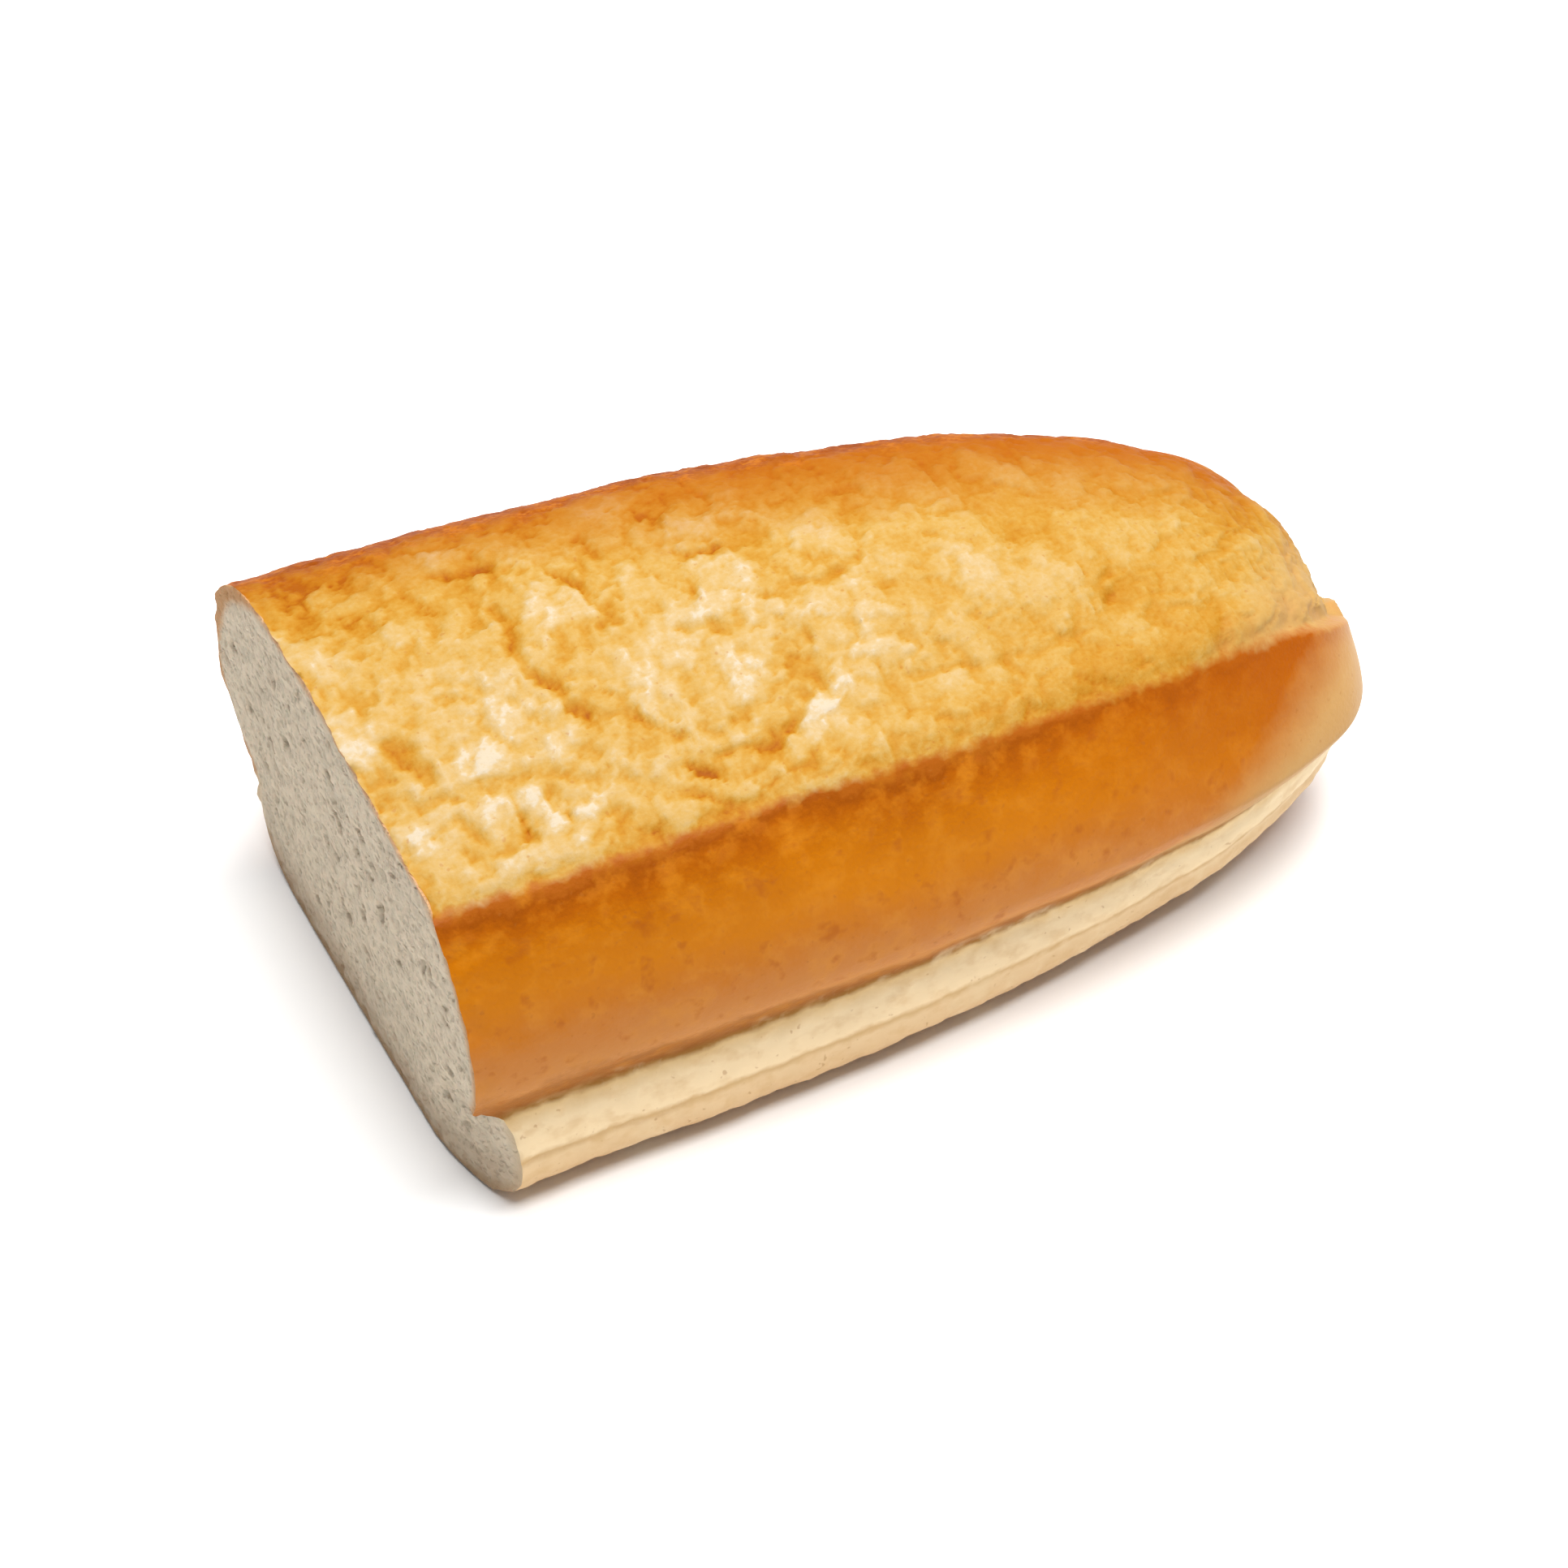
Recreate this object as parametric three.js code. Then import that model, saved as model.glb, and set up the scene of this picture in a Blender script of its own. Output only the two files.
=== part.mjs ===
// Half of a small crusty bread roll, cut across its middle and resting on its flat base.
//
// The roll runs along +X, from the cut face to its rounded end. +Z is up, and -Y is the side
// called right here. Crust and crumb were baked as one piece, so the half roll is one closed solid.
// It has the outer shape that matters for handling: a flat base, a band just above the tray, a
// crease where the top of the roll sprang up over that band, a smooth flank on each side, and the
// broad open score along the top. Its origin is the middle of its bounding box's underside.
import * as THREE from "three";

// Driving dimensions, in millimetres.
const LENGTH = 120.1; // cut face to rounded end
const RIGHT_HALF_WIDTH = 37.6; // centre plane to the widest part of the right flank
const LEFT_HALF_WIDTH = 33;
const HEIGHT = 45.6; // base to crown, at the cut
const NOSE_HEIGHT = 16; // where every line of the crust meets at the rounded end
const NOSE_SHIFT = -2.1; // how far the rounded end leans to the right
const SETTLE = 0.4; // how far the soft roll has flattened under its own weight

// The cut is a little oblique and bowed, and tore back at the lower right corner.
const CUT_SLANT = Math.tan(THREE.MathUtils.degToRad(3.25));
const CUT_BOW = 0.3;
const TEAR = { depth: 4.2, starts: 24, width: 14, top: 16, height: 4 };
const CUT_FADE = 0.35; // share of the length over which the cut's slant dies out

// Mesh resolution.
const COLUMNS = 76; // round the section
const CUT_ROWS = 4; // rings on the cut face, from its middle to its rim
const LOAF_ROWS = 28; // rings from the rim to the rounded end
const OUTLINE_SAMPLES = 400; // points that the plan outline is measured on

// The section at the cut, as shares of a half width and of the height. It starts in the middle of
// the base, goes out along the right side, over the crown and down the left side.
const RIGHT_SIDE = [
  [0, 0], // middle of the base
  [0.6, 0], // edge of the flat
  [0.95, 0.033], // base corner
  [1.01, 0.1], // band next to the tray
  [1.0, 0.175], // top edge of that band
  [0.947, 0.303], // crease
  [1.0, 0.43], // flank, lower
  [0.98, 0.61], // flank, upper
  [0.81, 0.873], // edge of the open score
  [0.6, 0.92], // shoulder of the score
];
const CROWN = [0.02, 1];
const LEFT_SIDE = [
  [0.64, 0.95],
  [0.87, 0.83],
  [1.01, 0.58],
  [0.92, 0.395],
  [0.74, 0.29],
  [0.75, 0.19],
  [0.69, 0.06],
  [0.45, 0],
];

// How the section shrinks towards the rounded end, at three heights: the share of the width lost
// along the way, and how blunt the end is. A higher bluntness keeps the full width for longer.
const TAPER = [
  { height: 0.14, lost: 0.34, bluntness: 4.85 }, // band next to the tray
  { height: 0.46, lost: 0.06, bluntness: 3.7 }, // flank
  { height: 0.86, lost: 0.27, bluntness: 3.55 }, // score
];

// The same for the height, above and below the nose. A share below 0 swells the roll a little first.
const DROP = { lost: -0.04, bluntness: 3 };
const RISE = { lost: -0.07, bluntness: 3 };

// Share of a dimension that is left at a share t of the length.
function shrink(t, lost, bluntness) {
  return (1 - lost * t * t) * (1 - t ** bluntness) ** (1 / bluntness);
}

// The taper at any height, between the three given ones.
function taperAt(heightShare) {
  const [low, middle, high] = TAPER;
  const [a, b] = heightShare < middle.height ? [low, middle] : [middle, high];
  const share = THREE.MathUtils.clamp((heightShare - a.height) / (b.height - a.height), 0, 1);
  return {
    lost: THREE.MathUtils.lerp(a.lost, b.lost, share),
    bluntness: THREE.MathUtils.lerp(a.bluntness, b.bluntness, share),
  };
}

// The section as evenly spaced points, the last one on the first.
function sectionPoints() {
  const right = RIGHT_SIDE.map(([y, z]) => new THREE.Vector3(0, -y * RIGHT_HALF_WIDTH, z * HEIGHT));
  const left = LEFT_SIDE.map(([y, z]) => new THREE.Vector3(0, y * LEFT_HALF_WIDTH, z * HEIGHT));
  const crown = new THREE.Vector3(0, CROWN[0] * LEFT_HALF_WIDTH, CROWN[1] * HEIGHT);
  return new THREE.CatmullRomCurve3([...right, crown, ...left], true).getSpacedPoints(COLUMNS);
}

// Shares of the length at which the rings stand, evenly spaced along the outline seen from above.
function stations() {
  const outline = [];
  const power = 2 / TAPER[1].bluntness;
  for (let i = 0; i <= OUTLINE_SAMPLES; i += 1) {
    const angle = (Math.PI / 2) * (i / OUTLINE_SAMPLES);
    const x = LENGTH * Math.sin(angle) ** power;
    const y = RIGHT_HALF_WIDTH * Math.cos(angle) ** power;
    outline.push(new THREE.Vector2(x, y));
  }
  outline[OUTLINE_SAMPLES].set(LENGTH, 0);
  const curve = new THREE.SplineCurve(outline);
  curve.arcLengthDivisions = OUTLINE_SAMPLES * 2;
  return curve.getSpacedPoints(LOAF_ROWS).map((p) => THREE.MathUtils.clamp(p.x / LENGTH, 0, 1));
}

// How far a point of the cut lies from a straight cross-cut, along X.
function cutOffset(y, z) {
  const sideways = y / RIGHT_HALF_WIDTH;
  const towardsCorner = THREE.MathUtils.clamp((-y - TEAR.starts) / TEAR.width, 0, 1) ** 1.5;
  const low = THREE.MathUtils.clamp((TEAR.top - z) / TEAR.height, 0, 1);
  return -CUT_SLANT * y + CUT_BOW * sideways * sideways + TEAR.depth * towardsCorner * low;
}

// The crust at a share t of the length, for a point of the section.
function crustPoint(section, t) {
  const { lost, bluntness } = taperAt(section.z / HEIGHT);
  const upright = section.z < NOSE_HEIGHT ? RISE : DROP;
  const left = shrink(t, upright.lost, upright.bluntness);
  const z = NOSE_HEIGHT + (section.z - NOSE_HEIGHT) * left;
  const fade = Math.max(0, 1 - t / CUT_FADE) ** 2;
  return new THREE.Vector3(
    LENGTH * t + cutOffset(section.y, section.z) * fade,
    section.y * shrink(t, lost, bluntness) + NOSE_SHIFT * t * t,
    Math.max(0, z - SETTLE),
  );
}

// The cut face at a share of the way from its middle to its rim.
function cutPoint(section, share) {
  const middle = HEIGHT / 2;
  const y = section.y * share;
  const z = middle + (section.z - middle) * share;
  return new THREE.Vector3(cutOffset(y, z), y, Math.max(0, z - SETTLE));
}

// A sphere's grid of vertices, moved onto the roll: one pole becomes the middle of the cut face,
// and the other the tip of the rounded end.
function halfRollGeometry() {
  const section = sectionPoints();
  const along = stations();
  const geometry = new THREE.SphereGeometry(1, COLUMNS, CUT_ROWS + LOAF_ROWS);
  const position = geometry.getAttribute("position");
  for (let i = 0; i < position.count; i += 1) {
    const row = Math.floor(i / (COLUMNS + 1));
    const column = i % (COLUMNS + 1) % COLUMNS;
    const point =
      row < CUT_ROWS
        ? cutPoint(section[column], row / CUT_ROWS)
        : crustPoint(section[column], along[row - CUT_ROWS]);
    position.setXYZ(i, point.x, point.y, point.z);
  }
  geometry.computeBoundingBox();
  const { min, max } = geometry.boundingBox;
  geometry.translate(-(min.x + max.x) / 2, -(min.y + max.y) / 2, -min.z);
  geometry.computeVertexNormals();
  return geometry;
}

const crust = new THREE.MeshStandardMaterial({ color: 0xd9933f, roughness: 0.6, metalness: 0 });

const roll = new THREE.Mesh(halfRollGeometry(), crust);
roll.name = "bread_roll";

const group = new THREE.Group();
group.add(roll);

export default group;
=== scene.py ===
# %% [markdown]
# # Half a crusty bread roll
#
# This lesson builds one half of a long bread roll, cut across its middle and resting on its flat
# base. A real roll is a single piece: the crust is only the dried outside of the same dough as the
# crumb. So the half roll is one closed mesh with two finishes, crust and crumb.
#
# The work goes in this order: the camera, the loaf's section and its rule, a fine mesh that
# follows them, flakes and folds placed one by one, relief from Geometry Nodes, two materials, light.

# %% Load the frame
import functools
import math
import random

import bpy
import numpy as np
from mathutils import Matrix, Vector, noise


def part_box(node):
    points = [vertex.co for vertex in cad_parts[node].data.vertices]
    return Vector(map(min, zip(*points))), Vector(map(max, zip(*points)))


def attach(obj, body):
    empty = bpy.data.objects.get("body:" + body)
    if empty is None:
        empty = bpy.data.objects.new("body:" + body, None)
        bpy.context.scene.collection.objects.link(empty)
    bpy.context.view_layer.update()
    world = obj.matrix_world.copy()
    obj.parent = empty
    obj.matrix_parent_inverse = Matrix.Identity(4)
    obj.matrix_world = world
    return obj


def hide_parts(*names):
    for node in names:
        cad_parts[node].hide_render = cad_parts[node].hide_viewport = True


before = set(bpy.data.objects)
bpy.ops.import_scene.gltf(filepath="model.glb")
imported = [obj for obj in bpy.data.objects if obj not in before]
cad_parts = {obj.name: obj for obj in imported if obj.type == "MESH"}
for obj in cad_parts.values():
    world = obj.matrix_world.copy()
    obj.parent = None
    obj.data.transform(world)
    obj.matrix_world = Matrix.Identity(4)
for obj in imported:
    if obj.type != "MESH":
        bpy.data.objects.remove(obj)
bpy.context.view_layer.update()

MM = 0.001
NODE = "bread_roll"
low, high = (np.array(corner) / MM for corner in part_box(NODE))
size = high - low
print(f"the solid is {size[0]:.1f} x {size[1]:.1f} x {size[2]:.1f} mm")

# %% [markdown]
# ## Camera
#
# The roll is seen from above its cut end, over the right flank. The camera stands at arm's length,
# so the far end looks only a little smaller. A camera is easiest to place by what it looks at, the
# direction that it looks in and its distance, so those are the values here. They are worked out
# from the solid's box: the aim point is on the table, a little behind the middle of the roll.

# %% Camera
VIEW_AZIMUTH = math.radians(-24.54)  # 0 looks along +Y
VIEW_ELEVATION = math.radians(44)
VIEW_DISTANCE = 3.35 * size[0] * MM
AIM = Vector((-0.005 * size[0], 0.176 * size[1], -0.009 * size[2])) * MM
FIELD_OF_VIEW = 2 * math.atan(0.23)  # the view is 0.46 of the distance wide

view_direction = Vector(
    (
        -math.sin(VIEW_AZIMUTH) * math.cos(VIEW_ELEVATION),
        math.cos(VIEW_AZIMUTH) * math.cos(VIEW_ELEVATION),
        -math.sin(VIEW_ELEVATION),
    )
)
lens = bpy.data.cameras.new("Camera")
lens.angle = FIELD_OF_VIEW
lens.clip_start = 0.01
camera = bpy.data.objects.new("Camera", lens)
camera.location = AIM - view_direction * VIEW_DISTANCE
camera.rotation_euler = view_direction.to_track_quat("-Z", "Y").to_euler()
bpy.context.scene.collection.objects.link(camera)
bpy.context.scene.camera = camera
print("camera at", [round(c / MM) for c in camera.location], "mm")

# %% [markdown]
# ## The section of the loaf
#
# Cut anywhere, a roll like this shows the same outline: a flat base, a soft corner, a pale band
# that stood next to the tray, a crease where the dough sprang up over it, a bulging flank, and the
# dome of the score between two ridges. The outline could be drawn as a curve object. It is kept as
# a few points and a smooth closed curve through them, because every point of the crust is later
# described by how far round that curve it lies. The curve is a centripetal Catmull-Rom spline,
# which goes through its points and never loops.

# %% Section
HALF_WIDTH_RIGHT = 37.6  # centre plane to the widest part of the flank, in millimetres
HALF_WIDTH_LEFT = 33.0
HEIGHT = 45.6  # base to crown, at the cut

# Points of the outline, as shares of a half width and of the height: from the middle of the base,
# out along the right side, over the crown, and down the left side.
RIGHT_SIDE = [
    (0, 0),  # middle of the base
    (0.6, 0),  # edge of the flat
    (0.95, 0.033),  # base corner
    (1.01, 0.1),  # band next to the tray
    (1.0, 0.175),  # top edge of that band
    (0.947, 0.303),  # crease
    (1.0, 0.43),  # flank, lower
    (0.98, 0.61),  # flank, upper
    (0.81, 0.873),  # edge of the score
    (0.6, 0.92),  # shoulder of the score
]
CROWN = [(-0.02, 1)]
LEFT_SIDE = [
    (0.64, 0.95),  # shoulder of the score
    (0.87, 0.83),  # edge of the score
    (1.01, 0.58),  # flank, upper
    (0.92, 0.395),  # flank, lower
    (0.74, 0.29),  # crease
    (0.75, 0.19),  # top edge of the band
    (0.69, 0.06),  # base corner
    (0.45, 0),  # edge of the flat
]
SPLINE_STEPS = 60  # samples between two points of the outline


def closed_spline(points, steps):
    """Samples of a closed centripetal Catmull-Rom curve through the points."""
    spans = []
    for i in range(len(points)):
        before, start, end, after = (points[(i + k) % len(points)] for k in (-1, 0, 1, 2))
        d0, d1, d2 = (
            np.linalg.norm(b - a) ** 0.5 for a, b in ((before, start), (start, end), (end, after))
        )
        leave = (start - before) / d0 - (end - before) / (d0 + d1) + (end - start) / d1
        arrive = (end - start) / d1 - (after - start) / (d1 + d2) + (after - end) / d2
        t = np.linspace(0, 1, steps, endpoint=False)[:, None]
        spans.append(
            (2 * t**3 - 3 * t**2 + 1) * start
            + (t**3 - 2 * t**2 + t) * leave * d1
            + (3 * t**2 - 2 * t**3) * end
            + (t**3 - t**2) * arrive * d1
        )
    return np.concatenate(spans)


outline = closed_spline(
    np.array(
        [(-y * HALF_WIDTH_RIGHT, z * HEIGHT) for y, z in RIGHT_SIDE]
        + [(-y * HALF_WIDTH_LEFT, z * HEIGHT) for y, z in CROWN]
        + [(y * HALF_WIDTH_LEFT, z * HEIGHT) for y, z in LEFT_SIDE]
    ),
    SPLINE_STEPS,
)
steps = np.linalg.norm(np.roll(outline, -1, axis=0) - outline, axis=1)
arc = np.concatenate([[0], np.cumsum(steps)])
PERIMETER = arc[-1]
closed_outline = np.vstack([outline, outline[:1]])


def section_at(around):
    """Points of the section, for distances round it in millimetres."""
    return np.stack([np.interp(around % PERIMETER, arc, closed_outline[:, k]) for k in (0, 1)], -1)


# Distances round the section of the lines along the loaf, by the numbers of their points.
RIGHT_CORNER, RIGHT_BAND_TOP, RIGHT_CREASE, RIGHT_RIDGE = (
    arc[number * SPLINE_STEPS] for number in (2, 4, 5, 8)
)
LEFT_RIDGE, LEFT_CREASE, LEFT_BAND_TOP, LEFT_CORNER = (
    arc[number * SPLINE_STEPS] for number in (12, 15, 16, 17)
)
print(f"the section is {PERIMETER:.0f} mm round")
print(f"the score goes from {RIGHT_RIDGE:.1f} to {LEFT_RIDGE:.1f} mm round it")

# %% [markdown]
# ## The rule of the loaf
#
# Along the roll the section shrinks towards the rounded end. The lower band shrinks first and the
# flanks last, and the whole end is blunt, like a superellipse. The cut is slightly oblique, because
# a knife wanders in soft bread, and its lower right corner tore back. One function gives any point
# of the crust and one gives any point of the cut face, so the mesh can be as fine as it needs.

# %% Rule of the loaf
LENGTH = 120.1
NOSE_HEIGHT = 16.0  # where every line of the crust meets at the tip
NOSE_SHIFT = -2.1  # how far the tip leans to the right
SETTLE = 0.4  # how far the soft roll has flattened under its own weight
TAPER_HEIGHTS = (0.14, 0.46, 0.86)  # band, flank, score
TAPER_LOST = (0.34, 0.06, 0.27)  # share of the width lost along the way, at those heights
TAPER_BLUNTNESS = (4.85, 3.7, 3.55)  # a higher one keeps the full width for longer
DROP = (-0.04, 3.0)  # (lost, bluntness) of the height above the nose
RISE = (-0.07, 3.0)  # and below it
CUT_SLANT = math.tan(math.radians(3.25))
CUT_BOW = 0.3  # how far the cut curves back at its sides
TEAR_START, TEAR_WIDTH = 24, 14  # where the torn corner starts, to the right of the middle
TEAR_HEIGHTS = (0, 11, 13, 16)
TEAR_DEPTHS = (3.1, 5.0, 4.6, 0)  # how far it tore back, at those heights
CUT_FADE = 0.35  # share of the length over which the cut's slant dies out


def shrink(t, lost, bluntness):
    """Share of a size that is left at a share t of the length."""
    return (1 - lost * t * t) * np.maximum(0, 1 - t**bluntness) ** (1 / bluntness)


def cut_offset(y, z):
    """How far a point of the cut lies from a straight cross-cut, along X."""
    corner = np.clip((-y - TEAR_START) / TEAR_WIDTH, 0, 1) ** 1.5
    tear = corner * np.interp(z, TEAR_HEIGHTS, TEAR_DEPTHS)
    return -CUT_SLANT * y + CUT_BOW * (y / HALF_WIDTH_RIGHT) ** 2 + tear


def crust_points(around, t):
    """Points of the crust, for distances round the section and shares of the length."""
    y, z = np.moveaxis(section_at(around), -1, 0)
    lost = np.interp(z / HEIGHT, TAPER_HEIGHTS, TAPER_LOST)
    bluntness = np.interp(z / HEIGHT, TAPER_HEIGHTS, TAPER_BLUNTNESS)
    upright = np.where(z < NOSE_HEIGHT, shrink(t, *RISE), shrink(t, *DROP))
    settled = np.maximum(0, z - SETTLE)
    return np.stack(
        [
            LENGTH * t + cut_offset(y, settled) * np.clip(1 - t / CUT_FADE, 0, 1) ** 2,
            y * shrink(t, lost, bluntness) + NOSE_SHIFT * t * t,
            np.maximum(0, NOSE_HEIGHT + (z - NOSE_HEIGHT) * upright - SETTLE),
        ],
        -1,
    )


def cut_points(around, share):
    """Points of the cut face, for distances round its rim and shares of the way out to it."""
    y, z = np.moveaxis(section_at(around), -1, 0)
    middle = HEIGHT / 2 - SETTLE
    settled = np.maximum(0, z - SETTLE)
    z = middle + (settled - middle) * share
    return np.stack([cut_offset(y * share, z), y * share, z], -1)


print(f"the loaf is {LENGTH} mm long, and its tip is {NOSE_HEIGHT} mm up")

# %% [markdown]
# ## A fine mesh that follows the rule
#
# Flakes and folds are about a millimetre wide, so the mesh needs a point every half millimetre
# where they are, and far fewer on the base. A grid of rows and columns covers most of the crust.
# Towards the tip and across the cut face a grid would crowd into a pole, so there the rings get
# fewer and fewer points, and each ring is zipped to the next with triangles. The result is one
# closed surface with no slivers at its poles. Each point keeps where it lies: how far along and
# round the loaf, and how far inside the rim of the cut.

# %% Columns and rows
SPACING = [  # (distance round the section, distance between columns)
    (0, 2.0),
    (RIGHT_CORNER - 4, 1.2),
    (RIGHT_CORNER, 0.6),
    (RIGHT_RIDGE - 6, 0.56),
    (RIGHT_RIDGE, 0.46),
    (LEFT_RIDGE - 14, 0.46),
    (LEFT_RIDGE + 4, 0.66),
    (LEFT_CORNER, 0.85),
    (PERIMETER, 2.0),
]
ROW_SPACING = 0.55  # between rows along the loaf
CUT_SPACING = 0.385  # between rings of the cut face
RING_START = 0.955  # share of the length where rings take over from the grid
FEWEST_POINTS = 6  # in a ring

walk_round = np.linspace(0, PERIMETER, 4000)
columns_per_mm = 1 / np.interp(walk_round, *zip(*SPACING))
density = np.cumsum(columns_per_mm)
density = (density - density[0]) / (density[-1] - density[0])
column_count = round(PERIMETER * np.mean(columns_per_mm))
columns = np.interp(np.arange(column_count) / column_count, density, walk_round)

walk_t = np.sin(np.linspace(0, math.pi / 2, 3000)) ** (2 / TAPER_BLUNTNESS[1])
walk = crust_points(np.full_like(walk_t, RIGHT_RIDGE - 10), walk_t)
walked = np.concatenate([[0], np.cumsum(np.linalg.norm(np.diff(walk, axis=0), axis=1))])
row_count = round(walked[-1] / ROW_SPACING)
stations = np.interp(np.linspace(0, walked[-1], row_count + 1), walked, walk_t)
print(f"{column_count} columns, {row_count} rows")

# %% Rings and how they are joined
points, along, around, inside, faces = [], [], [], [], []


def add_ring(positions, places, length_share, depth):
    """Adds a ring of points and returns their numbers."""
    first = sum(len(p) for p in points)
    points.append(positions)
    along.append(np.broadcast_to(LENGTH * length_share, places.shape))
    around.append(places)
    inside.append(np.broadcast_to(depth, places.shape))
    return list(range(first, first + len(places)))


def zip_rings(ring_a, places_a, ring_b, places_b):
    """Joins two closed rings of different counts with triangles, walking round both at once."""
    i = j = 0
    while i < len(ring_a) or j < len(ring_b):
        next_a = places_a[i + 1] if i + 1 < len(ring_a) else PERIMETER
        next_b = places_b[j + 1] if j + 1 < len(ring_b) else PERIMETER
        a, b = ring_a[i % len(ring_a)], ring_b[j % len(ring_b)]
        if j >= len(ring_b) or (i < len(ring_a) and next_a <= next_b):
            faces.append((a, b, ring_a[(i + 1) % len(ring_a)]))
            i += 1
        else:
            faces.append((a, b, ring_b[(j + 1) % len(ring_b)]))
            j += 1


print("helpers for rings are ready")

# %% Grid over the crust
rings = [
    add_ring(crust_points(columns, t), columns, t, 0.0) for t in stations if t <= RING_START
]
rim = rings[0]
for ring, following in zip(rings, rings[1:]):
    for k in range(column_count):
        n = (k + 1) % column_count
        faces.append((ring[k], following[k], following[n], ring[n]))
print(f"the grid has {len(faces)} faces")

# %% Rings round the tip
end_ring, end_places = rings[-1], columns
end_stations = [t for t in stations if t > RING_START]
for number, t in enumerate(end_stations[:-1]):
    left = 1 - number / len(end_stations)
    count = max(FEWEST_POINTS, round(column_count * left))
    places = np.interp((np.arange(count) + 0.5) / count, density, walk_round)
    ring = add_ring(crust_points(places, t), places, t, 0.0)
    zip_rings(end_ring, end_places, ring, places)
    end_ring, end_places = ring, places
tip = add_ring(crust_points(np.array([0.0]), 1.0), np.array([RIGHT_RIDGE]), 1.0, 0.0)[0]
for k in range(len(end_ring)):
    faces.append((end_ring[k], tip, end_ring[(k + 1) % len(end_ring)]))
crust_faces = len(faces)
print(f"the crust has {crust_faces} faces")

# %% Rings across the cut face
FEWEST_CUT_POINTS = 5
RING_JITTER = 0.5  # share of the spacing by which a point is moved, so that no pattern shows


def even_places(count):
    """Evenly spread distances round the section, each moved a little at random."""
    step = PERIMETER / count
    moves = [(random.random() - 0.5) * RING_JITTER for _ in range(count)]
    return np.array([(k + 0.5 + moves[k]) * step for k in range(count)])


random.seed(11)
middle_radius = PERIMETER / (2 * math.pi)
cut_rings = round(middle_radius / CUT_SPACING)
cut_ring, cut_places = rim, columns
for number in range(1, cut_rings):
    share = 1 - number / cut_rings
    places = even_places(max(FEWEST_CUT_POINTS, round(PERIMETER * share / CUT_SPACING)))
    positions = cut_points(places, share)
    reach = np.linalg.norm(section_at(places) - np.array([0, HEIGHT / 2]), axis=1)
    ring = add_ring(positions, places, 0.0, (1 - share) * reach)
    zip_rings(ring, places, cut_ring, cut_places)
    cut_ring, cut_places = ring, places
heart = add_ring(cut_points(np.array([0.0]), 0.0), np.array([0.0]), 0.0, middle_radius)[0]
for k in range(len(cut_ring)):
    faces.append((cut_ring[(k + 1) % len(cut_ring)], heart, cut_ring[k]))
print(f"{sum(map(len, points))} points; the cut has {len(faces) - crust_faces} faces")

# %% Fit into the solid's box
points = np.concatenate(points)
middle = (points.min(0) + points.max(0)) / 2
scale = size / (points.max(0) - points.min(0))
points = (points - middle) * scale + (low + high) / 2
print("the loft was fitted into the solid's box by", [round(float(s), 4) for s in scale])

# %% [markdown]
# ## Where the crust changes
#
# The looks change at a few lines: the edge of the score, the crease, and the edge of the pale band.
# Both the relief and the colours need to know how far a point is from them, so those distances are
# kept on the mesh as attributes. The score is open on top only: near the tip its edge stays up
# high and runs across the end of the roll, so the flank's crust wraps round the nose.

# %% Distances from the lines
SCORE_END = ((0, 8, 26), (22, 17, 8))  # (distances round from the ridge, heights)
RIDGE_DRIFT = ((0, 40, 75, 105, 118), (0, 0, 1.4, 2.4, 5.0))  # (distances along, how much lower it lies)
CREASE_REACH = 6.0  # how far above the crease its colours begin

along, around, inside = (np.concatenate(values) for values in (along, around, inside))
narrowing = shrink(along / LENGTH, TAPER_LOST[2], TAPER_BLUNTNESS[2])
score = np.minimum.reduce(
    [
        (around - RIGHT_RIDGE + np.interp(along, *RIDGE_DRIFT)) * narrowing,
        (LEFT_RIDGE - around) * narrowing,
        points[:, 2] - np.interp(around - RIGHT_RIDGE, *SCORE_END),
    ]
)
band = np.interp(  # 0 at the crease, 1 at the pale band's lower edge, 2 at the base corner
    around,
    [0, RIGHT_CORNER, RIGHT_BAND_TOP, RIGHT_CREASE, RIGHT_CREASE + CREASE_REACH]
    + [LEFT_CREASE - CREASE_REACH, LEFT_CREASE, LEFT_BAND_TOP, LEFT_CORNER, PERIMETER],
    [4, 2, 1, 0, -1, -1, 0, 1, 2, 4],
)
print(f"{(score > 0).sum()} points lie in the score")
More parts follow.
